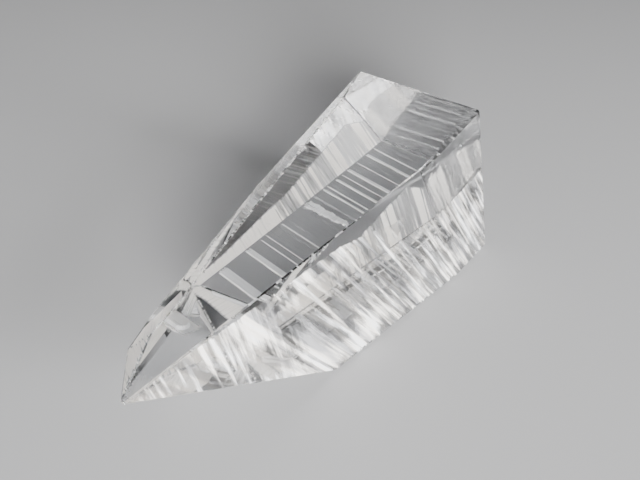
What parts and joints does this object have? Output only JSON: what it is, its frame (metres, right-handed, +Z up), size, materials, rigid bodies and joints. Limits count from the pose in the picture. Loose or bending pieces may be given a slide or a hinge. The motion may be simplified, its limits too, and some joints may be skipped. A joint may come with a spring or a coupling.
{
  "type": "polished lemurian seed quartz crystal",
  "caption": "Clear polished quartz point lying on its flat side, with a sloping tip, a cut base and ladder-like growth steps underneath.",
  "frame": {"origin": "bottom centre of the crystal's bounding box, on the surface that it lies on", "axes": "+Y along the crystal's growth axis from the tip to the cut base, +Z up, +X towards the tall face that the picture shows"},
  "size_m": [0.0156, 0.0336, 0.0124],
  "materials": {
    "clear_quartz": "polished, water clear, with fine growth lines on the underside"
  },
  "bodies": {
    "root": {"crystal": "clear_quartz"}
  },
  "joints": []
}
